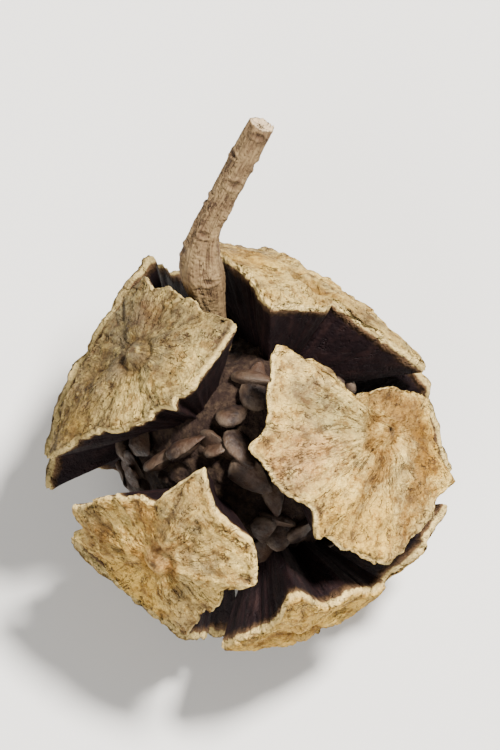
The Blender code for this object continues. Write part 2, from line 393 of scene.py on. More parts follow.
def edgeAround(index):
    # bearing and angle from the scale's middle, all round its edge
    put = edgeSettings
    centre, sides = centres[index], gapSides(index)
    draw = random.Random(put["drawSeed"] + index)
    phases = {lobes: draw.uniform(0, 2 * math.pi) for lobes in put["waveDepths"]}
    across, up = tangentsAt(centre)
    lengths = [math.acos(min(start @ end, 1)) for start, end in sides]
    ways, reaches = [], []
    for (start, end), length in zip(sides, lengths):
        count = round(put["pointsAround"] * length / sum(lengths))
        share = np.arange(count) / count
        onSide = normalised(start + (end - start) * share[:, None])
        way = np.arctan2(onSide @ up, onSide @ across)
        wave = sum(
            depth / radius * (1 + np.sin(lobes * way + phases[lobes])) / 2
            for lobes, depth in put["waveDepths"].items()
        )
        ways.append(way)
        reaches.append(np.arccos(onSide @ centre) - halfGap(share) - wave - drawnBack(index, way))
    ways, reach = np.concatenate(ways), np.concatenate(reaches)
    reach = (np.roll(reach, 1) + 2 * reach + np.roll(reach, -1)) / 4
    for pitch, depth in put["nibbles"]:
        nibbles = ringNoise(ways, pitch, index * put["nibbleSeed"] + pitch)
        reach -= depth / radius * (put["nibbleLevel"] + nibbles)
    chips = ringNoise(ways, put["chipPitch"], index * put["chipSeeds"][0] + put["chipSeeds"][1])
    reach -= put["chipDepth"] / radius * np.clip(chips / put["chipLevel"] - 1, 0, 1)
    reach += put["lobeDepth"] / radius * flutesAt(index, ways, 1.0)
    near = True
    while near:
        place = placeOn(centre, ways, reach, np.full(len(ways), radius))
        close = np.hypot(place[:, 0], place[:, 1]) < put["stalkClearance"]
        reach[close] -= math.radians(put["clearanceStep"])
        near = close.any()
    return ways, reach


# The scales
scaleSettings = {
    "faceFlatness": 0.36,
    "edgeDip": 0.00025,
    "dipFrom": 0.88,  # share of the way out where the face starts to turn down
    "faceRings": 76,
    "ringSpread": 0.9,  # under 1, the rings are closer near the rim
    "rimRings": 8,
    "flankRings": 34,
    "skinInset": 0.00014,  # leaves room for the relief inside the solid's face
    "bossHeight": 0.00056,
    "bossWidth": 0.000644,
    "bossPit": 0.00024,
    "bossPitWidth": 0.00028,
    "bossGroove": 0.00028,
    "grooveRadius": 0.00128,
    "grooveWidth": 0.00042,
    # where the boss is off the middle: bearing, angle
    "bossShifts": {0: (51, 4), 1: (148, 5), 2: (348, 16), 6: (132, 4)},
    "ridgeHeight": 0.00026,  # of the low ridges from the boss to the corners
    "ridgeWidth": 0.0009,
    "ridgeRise": 0.3,  # shares of the way out in which a ridge rises and falls off
    "ridgeFall": 0.25,
    "dishDepth": 0.00030,  # of the hollow between two ridges
    "dishRise": 0.4,  # radians from a ridge
    "lipHeight": 0.00014,  # of the raised lip inside the rim
    "lipPlace": 0.95,
    "lipWidth": 0.035,
    "fluteHeight": 0.00011,
    "fluteFrom": 0.12,
    "fluteRise": 0.6,
    "fluteFade": 0.0012,  # how far down the flank the flutes die out
    "streakRun": 150,  # how fast the flank's streaks run on, against the depth
    # share of the edge's angle and depth below the face, round the rim and to the root
    "rimProfile": ((1.0, 0.00025), (1.004, 0.00055), (0.985, 0.0010)),
    "flankProfile": (
        (0.985, 0.0010), (0.93, 0.0025), (0.85, 0.0042), (0.71, 0.0060), (0.60, 0.0078),
    ),
    "profileSteps": 20,
    "reachLength": 0.008,  # of a whole share, to weigh it against the depths
    # how pale each face is, partly weathering and partly painted light and shade for how each face
    # is lit, and how grey-green and ochre it has weathered
    "tonesWithPaintedLight": (0.34, 0.54, 0.90, 0.24, 0.70, 0.42, 1.15, 0.44, 0.37, 0.55),
    "greys": (0.62, 0.20, 0.05, 0.80, 0.05, 0.45, 0.0, 0.35, 0.50, 0.20),
    "ochres": (0.05, 0.25, 0.15, 0.10, 0.30, 0.30, 0.80, 0.30, 0.25, 0.40),
    # stains of weather, and on face 2 some painted shade: kind, bearing from the boss, share of
    # the way out, half width, amount
    "stainsAndShade": {
        0: (("pink", 110, 0.62, 0.0018, 0.7), ("grey", 150, 0.50, 0.0026, 0.7),
            ("brown", 215, 0.55, 0.0020, 0.6), ("ochre", 245, 0.75, 0.0024, 0.8),
            ("pale", 20, 0.80, 0.0020, 0.5), ("pale", 300, 0.75, 0.0018, 0.4),
            ("brown", 120, 0.30, 0.0012, 0.5)),
        1: (("pale", 330, 0.70, 0.0022, 0.6), ("ochre", 70, 0.60, 0.0024, 0.6),
            ("brown", 20, 0.55, 0.0014, 0.4)),
        # the browns and the ochre at bearings 306 to 18 are partly painted shade where the face
        # turns away from the light, and the greys towards the top-left are partly painted shade in
        # its dish
        2: (("grey", 132, 0.34, 0.0015, 0.9), ("grey", 124, 0.54, 0.0014, 0.9),
            ("grey", 120, 0.72, 0.0010, 0.6), ("pink", 165, 0.74, 0.0026, 0.9),
            ("pale", 207, 0.28, 0.0011, 0.7), ("pale", 195, 0.58, 0.0014, 0.7),
            ("brown", 240, 0.36, 0.0015, 1.2), ("brown", 0, 0.08, 0.0019, 0.8),
            ("brown", 345, 0.60, 0.0024, 1.1), ("ochre", 330, 0.74, 0.0030, 1.0),
            ("brown", 306, 0.62, 0.0022, 1.1), ("brown", 18, 0.66, 0.0017, 1.0),
            ("ochre", 222, 0.78, 0.0022, 0.8), ("ochre", 255, 0.84, 0.0026, 1.0),
            ("brown", 284, 0.84, 0.0016, 0.6)),
        4: (("brown", 160, 0.62, 0.0018, 0.9), ("pink", 60, 0.12, 0.0018, 0.8),
            ("ochre", 215, 0.62, 0.0030, 1.0), ("ochre", 80, 0.62, 0.0014, 0.8),
            ("brown", 25, 0.42, 0.0012, 0.7), ("pale", 5, 0.86, 0.0014, 0.8),
            ("brown", 262, 0.40, 0.0014, 0.6), ("pink", 95, 0.80, 0.0014, 0.6)),
        6: (("brown", 150, 0.60, 0.0018, 0.6), ("pale", 70, 0.85, 0.0016, 0.5)),
    },
    # on each of the other faces: how many, and the range of each of those numbers
    "otherStains": 6,
    "otherRanges": ((0, 360), (0.2, 0.9), (0.0012, 0.0026), (0.4, 0.8)),
    "stainSeed": 21,
}
stainKinds = ("pale", "grey", "ochre", "pink", "brown")


def smoothProfile(stations, count):
    # a smooth run of points through the stations, evenly along their length
    stations = np.array(stations)
    padded = np.vstack([2 * stations[0] - stations[1], stations, 2 * stations[-1] - stations[-2]])
    t = np.linspace(0, 1, scaleSettings["profileSteps"], endpoint=False)[:, None]
    line = []
    for a, b, c, d in zip(padded, padded[1:], padded[2:], padded[3:]):
        bends = (2 * a - 5 * b + 4 * c - d) * t**2 + (3 * b - a - 3 * c + d) * t**3
        line.append((2 * b + (c - a) * t + bends) / 2)
    shares, depths = np.vstack(line + [stations[-1:]]).T
    steps = np.hypot(np.diff(shares) * scaleSettings["reachLength"], np.diff(depths))
    along = np.concatenate([[0], np.cumsum(steps)])
    at = np.linspace(0, along[-1], count)
    return np.stack([np.interp(at, along, shares), np.interp(at, along, depths)], axis=1)


def stainsOn(index):
    put = scaleSettings
    if index in put["stainsAndShade"]:
        return put["stainsAndShade"][index]
    draw = random.Random(put["stainSeed"] + index)
    return [
        (draw.choice(stainKinds), *(draw.uniform(*limits) for limits in put["otherRanges"]))
        for _ in range(put["otherStains"])
    ]


def underApex(rings, apexValue=0.0):
    return np.concatenate([[apexValue], np.ravel(rings)])


def stainFields(index, ways, shares, reach):
    # how strong each kind of stain is at the apex and at every point of the rings
    total = {kind: np.zeros((len(shares), len(ways))) for kind in stainKinds}
    fromBoss = shares[:, None] * reach * radius
    for kind, bearing, share, halfWidth, amount in stainsOn(index):
        way = math.radians(bearing)
        out = share * reach[np.argmin(np.abs(wrapped(ways - way)))] * radius
        apartX = fromBoss * np.cos(ways) - out * math.cos(way)
        apartY = fromBoss * np.sin(ways) - out * math.sin(way)
        total[kind] += amount * hump(np.hypot(apartX, apartY), halfWidth)
    return {kind: underApex(field, field[0].mean()) for kind, field in total.items()}


def faceHeight(index, share, ways, reach, cornerWays):
    # the boss, its ring groove, the ridges, flutes and lip, in metres above the plain face
    put = scaleSettings
    distance = share * reach * radius
    boss = put["bossHeight"] * hump(distance, put["bossWidth"])
    pit = put["bossPit"] * hump(distance, put["bossPitWidth"])
    groove = put["bossGroove"] * hump(distance - put["grooveRadius"], put["grooveWidth"])
    apart = np.min([np.abs(wrapped(ways - c)) for c in cornerWays], axis=0)
    strength = np.clip(share / put["ridgeRise"], 0, 1)
    strength *= np.clip((1 - share) / put["ridgeFall"], 0, 1) ** 0.5
    ridge = put["ridgeHeight"] * hump(apart * distance, put["ridgeWidth"]) * strength
    dish = np.sin(math.pi * np.clip(share, 0, 1)) ** 2 * np.clip(apart / put["dishRise"], 0, 1)
    lip = put["lipHeight"] * hump(share - put["lipPlace"], put["lipWidth"])
    flute = put["fluteHeight"] * flutesAt(index, ways, share)
    flute *= np.clip((share - put["fluteFrom"]) / put["fluteRise"], 0, 1)
    return boss - pit - groove + lip + flute + ridge - put["dishDepth"] * dish


def buildScale(index):
    put = scaleSettings
    centre = centres[index]
    ways, reach = edgeAround(index)
    across, up = tangentsAt(centre)
    cornerWays = [math.atan2(corner @ up, corner @ across) for corner in gapCorners(index)]
    shiftWay, shiftAngle = np.radians(put["bossShifts"].get(index, (0, 0)))
    rings, rims, depths, shares = [], [], [], []

    def addRing(share, depth, height, rim, offset):
        middle = placeOn(centre, shiftWay, shiftAngle * offset, 1.0)
        out = placeOn(middle, ways, reach * share, np.ones(len(ways)))
        flatness = put["faceFlatness"]
        plain = radius * (1 - flatness + flatness / (out @ centre))
        rings.append(out * (plain - depth + height - put["skinInset"])[:, None])
        shares.append(share)
        rims.append(rim)
        depths.append(max(depth - put["edgeDip"], 0))

    for share in (np.arange(1, put["faceRings"] + 1) / put["faceRings"]) ** put["ringSpread"]:
        dip = put["edgeDip"] * max(0, (share - put["dipFrom"]) / (1 - put["dipFrom"])) ** 2
        addRing(share, dip, faceHeight(index, share, ways, reach, cornerWays), share, 1 - share)
    edgeHeight = faceHeight(index, 1.0, ways, reach, cornerWays)
    rimPoints = smoothProfile(put["rimProfile"], put["rimRings"])[1:-1]
    flankPoints = smoothProfile(put["flankProfile"], put["flankRings"])
    for share, depth in np.vstack([rimPoints, flankPoints]):
        left = max(0, 1 - (depth - put["edgeDip"]) / put["fluteFade"])
        addRing(share, depth, edgeHeight * left, 1.0, 0)
    apexHeight = radius + put["bossHeight"] - put["bossPit"] - put["skinInset"]
    apex = placeOn(centre, shiftWay, shiftAngle, apexHeight)
    points = np.vstack([apex[None], np.concatenate(rings)])

    rim = underApex(np.repeat(rims, len(ways)))
    depth = underApex(np.repeat(depths, len(ways)))
    allWays = underApex(np.tile(ways, len(rings)))
    stainsAndShade = stainFields(index, ways, np.array(shares), reach)
    fromBoss = np.array(shares)[:, None] * reach * radius
    attributes = {
        "rim": rim,
        "groove": underApex(hump(fromBoss - put["grooveRadius"], put["grooveWidth"])),
        "depth": depth * millimetres,
        "spoke": np.stack(
            [np.cos(allWays), np.sin(allWays), rim + depth * put["streakRun"]], axis=1
        ),
        "tone": put["tonesWithPaintedLight"][index] + stainsAndShade["pale"],
        "grey": put["greys"][index] + stainsAndShade["grey"],
        "ochre": put["ochres"][index] + stainsAndShade["ochre"],
        "pink": stainsAndShade["pink"],
        "brown": stainsAndShade["brown"],
    }
    faces = closedRings(len(rings), len(ways))
    piece = meshPiece(f"scale{index + 1:02d}", leaned(stretched(points)), faces, attributes)
    faceOutward(piece)
    return piece


# The relief of bark, which the scales, the core and the stalk share
barkShape = {
    "wander": (520.0, 3.0, 0.6),
    "wanderBend": 3.2,  # how far it bends the wrinkles
    "runOut": 0.30,  # how slowly the wrinkles change outward, against round the boss
    "flutes": (0.85, 1.0, 0.4),
    "fluteShift": (2.0, 7.0, 4.0),
    "folds": (1.0, 5.0, 0.65),
    "fineFolds": (2.7, 4.0, 0.65),
    "creases": (1.3, 0.035),
    "creaseShift": (5.0, 3.0, 1.0),
    "creaseBreaks": (900.0, 2.0, 0.5),
    "creaseBreakFade": (0.42, 0.58),
    "wrinkleWeights": (1.0, 0.45, -0.9),
    "wartBend": 0.0005,
    "wartSmoothness": 0.5,
    "wartFade": (0.10, 0.55, 1.0, 0.0),
    "wartPatches": (620.0, 2.0, 0.5),
    "wartPatchFade": (0.40, 0.60),
    "wartLevel": 0.4,
    "dents": (3.0, 0.55),  # detail and roughness
    "cracks": (1.5, 0.030),
    "crackShift": (9.0, 9.0, 9.0),
    "streaks": (2.6, 4.0, 0.65),
    # fades by the share of the way out, and for the skin by the depth in millimetres
    "fluteFade": (0.15, 1.0),
    "wrinkleFade": (0.06, 0.40),
    "crackFade": (0.72, 0.98),
    "skinFade": (0.05, 0.6, 1.0, 0.0),
    # of flutes, wrinkles, warts, dents and cracks in what the materials read
    "lookWeights": (0.25, 0.50, 0.30, 0.60, -0.8),
}


def namedAttribute(tree, name, kind="FLOAT"):
    node = addNode(tree, "GeometryNodeInputNamedAttribute", {"Name": name}, data_type=kind)
    return node.outputs["Attribute"]


def storeAttribute(tree, geometry, name, value):
    inputs = {"Geometry": geometry, "Name": name, "Value": value}
    kind = "GeometryNodeStoreNamedAttribute"
    return addNode(tree, kind, inputs, data_type="FLOAT", domain="POINT").outputs[0]


def movePoints(tree, geometry, **move):
    return addNode(tree, "GeometryNodeSetPosition", {"Geometry": geometry, **move}).outputs[0]


def endTree(tree, geometry, given, result):
    painted = {"Geometry": geometry, "Material": given["Material"]}
    painted = addNode(tree, "GeometryNodeSetMaterial", painted).outputs[0]
    tree.links.new(painted, result["Geometry"])


def buildReliefTree():
    # wrinkles that run out from the boss, warts, dents, and cracks in from the rim
    tree, given, result = newTree(
        "barkRelief",
        "GeometryNodeTree",
        {
            "Geometry": "Geometry",
            "Flute Height": 0.0,
            "Wrinkle Height": 0.0,
            "Wrinkle Pitch": 6.0,
            "Wart Height": 0.0,
            "Wart Scale": 1500.0,
            "Dent Depth": 0.0,
            "Dent Scale": 380.0,
            "Crack Depth": 0.0,
            "Streak Height": 0.0,
            "Seed": 0.0,
            "Material": "Material",
        },
        {"Geometry": "Geometry"},
    )
    shape = barkShape
    position = addNode(tree, "GeometryNodeInputPosition").outputs[0]
    normal = addNode(tree, "GeometryNodeInputNormal").outputs[0]
    rim = namedAttribute(tree, "rim")
    seedVector = combine(tree, 0.0, 0.0, given["Seed"])
    wander = wanderNoise(tree, position, *shape["wander"])

    def shifted(vector, shift):
        return vectorMath(tree, "ADD", vector, shift)

    # round the boss by the bearing, and slowly outward: noise here comes out as spokes
    spoke = namedAttribute(tree, "spoke", "FLOAT_VECTOR")
    spoke = vectorMath(tree, "SCALE", spoke, scale=given["Wrinkle Pitch"])
    split = addNode(tree, "ShaderNodeSeparateXYZ", {0: spoke}).outputs
    straight = combine(tree, split[0], split[1], times(tree, split[2], shape["runOut"]))
    straight = shifted(straight, seedVector)
    bent = shifted(straight, vectorMath(tree, "SCALE", wander, scale=shape["wanderBend"]))
    flutes = signedNoise(tree, shifted(straight, shape["fluteShift"]), *shape["flutes"])
    flutes = times(tree, flutes, mapRange(tree, rim, *shape["fluteFade"]))
    folds = signedNoise(tree, bent, *shape["folds"])
    fineFolds = signedNoise(tree, bent, *shape["fineFolds"])
    creases = ridgeLines(tree, shifted(bent, shape["creaseShift"]), *shape["creases"])
    breaks = noiseValue(tree, position, *shape["creaseBreaks"])
    creases = times(tree, creases, mapRange(tree, breaks, *shape["creaseBreakFade"]))
    wrinkles = weighted(tree, *zip((folds, fineFolds, creases), shape["wrinkleWeights"]))
    wrinkles = times(tree, wrinkles, mapRange(tree, rim, *shape["wrinkleFade"]))

    wartPlace = shifted(position, vectorMath(tree, "SCALE", wander, scale=shape["wartBend"]))
    wartInputs = {
        "Vector": wartPlace, "Scale": given["Wart Scale"], "Smoothness": shape["wartSmoothness"],
    }
    warts = addNode(tree, "ShaderNodeTexVoronoi", wartInputs, feature="SMOOTH_F1")
    warts = mapRange(tree, warts.outputs["Distance"], *shape["wartFade"])
    patches = noiseValue(tree, position, *shape["wartPatches"])
    warts = times(tree, warts, mapRange(tree, patches, *shape["wartPatchFade"]))

    dents = signedNoise(tree, shifted(position, seedVector), given["Dent Scale"], *shape["dents"])
    cracks = ridgeLines(tree, shifted(bent, shape["crackShift"]), *shape["cracks"])
    cracks = times(tree, cracks, mapRange(tree, rim, *shape["crackFade"]))
    streaks = signedNoise(tree, straight, *shape["streaks"])

    face = weighted(
        tree,
        (flutes, given["Flute Height"]),
        (wrinkles, given["Wrinkle Height"]),
        (mathNode(tree, "SUBTRACT", warts, shape["wartLevel"]), given["Wart Height"]),
        (dents, given["Dent Depth"]),
        (times(tree, cracks, -1.0), given["Crack Depth"]),
    )
    flank = times(tree, streaks, given["Streak Height"])
    onFace = mapRange(tree, namedAttribute(tree, "depth"), *shape["skinFade"])
    height = addNode(tree, "ShaderNodeMix", {0: onFace, 2: flank, 3: face}).outputs[0]
    forms = (flutes, wrinkles, warts, dents, cracks)
    relief = weighted(tree, *zip(forms, shape["lookWeights"]))
    stored = storeAttribute(tree, given["Geometry"], "relief", relief)
    stored = storeAttribute(tree, stored, "streak", streaks)
    moved = movePoints(tree, stored, Offset=vectorMath(tree, "SCALE", normal, scale=height))
    whole = addNode(tree, "GeometryNodeRealizeInstances", {"Geometry": moved}).outputs[0]
    endTree(tree, whole, given, result)
    return tree


# Materials
woodColours = {
    "cream": (0.84, 0.600, 0.190, 1),
    # the pale rim: partly wear, partly a painted highlight
    "rim": (0.90, 0.67, 0.27, 1),
    "tan": (0.33, 0.228, 0.102, 1),
    "brown": (0.118, 0.066, 0.032, 1),
    "greyOlive": (0.19, 0.160, 0.088, 1),
    "ochre": (0.46, 0.275, 0.070, 1),
    "ochreStain": (0.88, 0.76, 0.48, 1),
    "greyStain": (0.54, 0.60, 0.72, 1),
    "pinkStain": (0.80, 0.66, 0.76, 1),
    "brownStain": (0.42, 0.33, 0.25, 1),
    # the flank's own dark colour, darkened further with painted shade of the gaps
    "flankPlumAndShade": (0.0060, 0.0024, 0.0032, 1),
    "plumLight": (0.023, 0.0100, 0.0090, 1),
    "core": (0.020, 0.0105, 0.0080, 1),
    "coreDust": (0.068, 0.043, 0.026, 1),
    "seed": (0.050, 0.026, 0.015, 1),
    "seedDark": (0.010, 0.005, 0.004, 1),
    "hilum": (0.10, 0.070, 0.048, 1),
    "stalk": (0.145, 0.090, 0.043, 1),
    "stalkPale": (0.245, 0.166, 0.078, 1),
    "stalkDark": (0.050, 0.024, 0.013, 1),
    "pith": (0.52, 0.39, 0.24, 1),
}

# The groups' own noises, by detail and roughness where a material gives the scale
groupShapes = {
    "clouds": (5.0, 0.65),
    "cloudFade": (0.45, 0.62),
    "specks": (4.0, 0.7),
    "speckFade": (0.5, 0.66),
    "fibreWander": (430.0, 4.0, 0.65),
    "fibres": (1.0, 5.0, 0.7),
    "cracks": (0.6, 0.027),
    "crackShift": (4.0, 8.0, 2.0),
    "crackBreaks": (760.0, 3.0, 0.6),
    "crackBreakFade": (0.455, 0.58),
}


def buildMottleGroup():
    # weathered patches over a base colour, and grain that lightens and darkens it
    tree, given, result = newTree(
        "weatherMottle",
        "ShaderNodeTree",
        {
            "Vector": "Vector", "Colour": "Color", "Cloud": "Color", "Speck": "Color",
            "Cloud Scale": 300.0, "Cloud Amount": 0.5,
            "Speck Scale": 2600.0, "Speck Amount": 0.4,
        },
        {"Colour": "Color", "Height": "Float"},
    )
    shape = groupShapes
    clouds = noiseValue(tree, given["Vector"], given["Cloud Scale"], *shape["clouds"])
    specks = noiseValue(tree, given["Vector"], given["Speck Scale"], *shape["specks"])
    cloudMask = mapRange(tree, clouds, *shape["cloudFade"], 0.0, given["Cloud Amount"])
    speckMask = mapRange(tree, specks, *shape["speckFade"], 0.0, given["Speck Amount"])
    colour = mixColour(tree, cloudMask, given["Colour"], given["Cloud"])
    colour = mixColour(tree, speckMask, colour, given["Speck"])
    tree.links.new(colour, result["Colour"])
    tree.links.new(specks, result["Height"])
    return tree


def buildFibreGroup():
    # fine fibres and short cracks that run out from the boss, down a flank or along the stalk
    tree, given, result = newTree(
        "woodFibres",
        "ShaderNodeTree",
        {"Spoke": "Vector", "Vector": "Vector", "Pitch": 14.0, "Run": 3.0, "Wander": 3.8},
        {"Fibres": "Float", "Cracks": "Float"},
    )
    shape = groupShapes
    pitches = combine(tree, given["Pitch"], given["Pitch"], given["Run"])
    along = vectorMath(tree, "MULTIPLY", given["Spoke"], pitches)
    wander = wanderNoise(tree, given["Vector"], *shape["fibreWander"])
    wander = vectorMath(tree, "SCALE", wander, scale=given["Wander"])
    along = vectorMath(tree, "ADD", along, wander)
    crackPlace = vectorMath(tree, "ADD", along, shape["crackShift"])
    cracks = ridgeLines(tree, crackPlace, *shape["cracks"])
    breaks = noiseValue(tree, given["Vector"], *shape["crackBreaks"])
    cracks = times(tree, cracks, mapRange(tree, breaks, *shape["crackBreakFade"]))
    tree.links.new(noiseValue(tree, along, *shape["fibres"]), result["Fibres"])
    tree.links.new(cracks, result["Cracks"])
    return tree


def buildRubOrShadeGroup():
    # turns crests, or with falling ends grooves, towards another colour, and fibres likewise:
    # rubbed pale crests, or painted shade in the grooves
    tree, given, result = newTree(
        "rubbedOrGrooveShaded",
        "ShaderNodeTree",
        {
            "Colour": "Color", "Towards": "Color", "Relief": 0.0, "Fibres": 0.0,
            "Relief From": 0.0, "Relief To": 1.0, "Relief Amount": 0.5,
            "Fibres From": 0.0, "Fibres To": 0.2, "Fibres Amount": 0.5,
        },
        {"Colour": "Color"},
    )
    colour = given["Colour"]
    for name in ("Relief", "Fibres"):
        ends = (given[name + " From"], given[name + " To"])
        mask = mapRange(tree, given[name], *ends, 0.0, given[name + " Amount"])
        colour = mixColour(tree, mask, colour, given["Towards"])
    tree.links.new(colour, result["Colour"])
    return tree


def buildDustGroup():
    # patches of dust that the gaps hold
    tree, given, result = newTree(
        "gapDust",
        "ShaderNodeTree",
        {
            "Vector": "Vector", "Colour": "Color", "Dust": "Color",
            "Scale": 900.0, "Detail": 4.0, "Roughness": 0.6,
            "From": 0.45, "To": 0.7, "Amount": 0.5,
        },
        {"Colour": "Color", "Height": "Float"},
    )
    noiseShape = (given["Scale"], given["Detail"], given["Roughness"])
    patches = noiseValue(tree, given["Vector"], *noiseShape)
    mask = mapRange(tree, patches, given["From"], given["To"], 0.0, given["Amount"])
    tree.links.new(mixColour(tree, mask, given["Colour"], given["Dust"]), result["Colour"])
    tree.links.new(patches, result["Height"])
    return tree


mottleGroup = buildMottleGroup()
fibreGroup = buildFibreGroup()
rubOrShadeGroup = buildRubOrShadeGroup()
dustGroup = buildDustGroup()


def newMaterial(name):
    material = bpy.data.materials.new(name)
    material.use_nodes = True
    return material, material.node_tree, material.node_tree.nodes["Principled BSDF"]


def objectPlace(tree):
    return addNode(tree, "ShaderNodeTexCoord").outputs["Object"]


def useGroup(tree, group, inputs):
    return addNode(tree, "ShaderNodeGroup", inputs, node_tree=group).outputs


def attributeValue(tree, name, output="Fac"):
    return addNode(tree, "ShaderNodeAttribute", attribute_name=name).outputs[output]


def finishShader(tree, shader, look, colour, height, roughness):
    distance, strength = look["bump"]
    bump = {"Height": height, "Distance": distance, "Strength": strength}
    normal = addNode(tree, "ShaderNodeBump", bump).outputs["Normal"]
    tree.links.new(colour, shader.inputs["Base Color"])
    tree.links.new(normal, shader.inputs["Normal"])
    setSocket(tree, shader.inputs["Roughness"], roughness)
    shader.inputs["Specular IOR Level"].default_value = look["specular"]


scaleLook = {
    "fibres": {"Pitch": 14.0, "Run": 3.0, "Wander": 3.8},
    "fibreFade": (0.10, 0.55, 0.25, 1.0),  # by the share of the way out
    "blotches": (700.0, 6.0, 0.82),
    "drift": (170.0, 3.0, 0.5),  # of how pale it is, across a face
    "driftAmount": 3.2,
    "weather": {
        "Cloud": woodColours["greyOlive"], "Cloud Scale": 420.0, "Cloud Amount": 0.50,
        "Speck": woodColours["brown"], "Speck Scale": 1500.0, "Speck Amount": 0.50,
    },
    "patches": {
        "Cloud": woodColours["ochre"], "Cloud Scale": 270.0, "Cloud Amount": 0.45,
        "Speck": woodColours["cream"], "Speck Scale": 950.0, "Speck Amount": 0.60,
    },
    "patchShift": (0.31, 0.17, 0.05),
    "crests": {
        "Towards": woodColours["cream"],
        "Relief From": 0.1, "Relief To": 0.9, "Relief Amount": 0.60,
        "Fibres From": 0.03, "Fibres To": 0.20, "Fibres Amount": 0.45,
    },
    # painted shade in the grooves and between the raised fibres
    "paintedGrooveShade": {
        "Towards": woodColours["brown"],
        "Relief From": 0.05, "Relief To": -0.8, "Relief Amount": 0.80,
        "Fibres From": -0.02, "Fibres To": -0.20, "Fibres Amount": 0.50,
    },
    "stainAmounts": {"ochre": 0.90, "grey": 0.85, "pink": 0.90, "brown": 0.95},
    "stainBlotches": 2.6,
    "stainFade": (0.10, 1.0),
    "lumps": (1000.0, 4.0, 0.7),
    "lumpFade": (0.52, 0.38, 0.0, 0.80),
    "cracks": 0.78,
    "ringBlotches": 3.5,
    "ringAmount": 0.85,
    "bossTip": (0.060, 0.025, 0.0, 0.7),
    # the pale rim band: partly wear, partly a painted highlight
    "rimWearAndHighlightNoise": (380.0, 2.0, 0.5),
    "rimWearAndHighlightFade": (0.38, 0.62, 0.45, 0.95),
    "edgeFade": (0.958, 0.994),
    "shade": (0.0, 0.8, 0.52, 1.0),  # by the face's tone
    "ragged": (1300.0, 3.0, 0.6),
    "raggedDepth": -0.7,
    "underFade": (-0.16, 0.05),  # by the depth in millimetres, as the next
    "darkFade": (0.0, 0.60),
    "darkStreaks": -0.25,
    "streakFade": (-0.3, 1.0),
    "grain": (4600.0, 4.0, 0.7),
    "heights": (0.9, 0.9, 0.5, 1.2, -1.1),  # of mottle, patches, grain, fibres and cracks
    "flankHeights": 0.35,
    "bump": (0.00032, 1.0),
    "roughness": (0.76, 0.66),  # of the face and the flank
    "specular": 0.12,
}


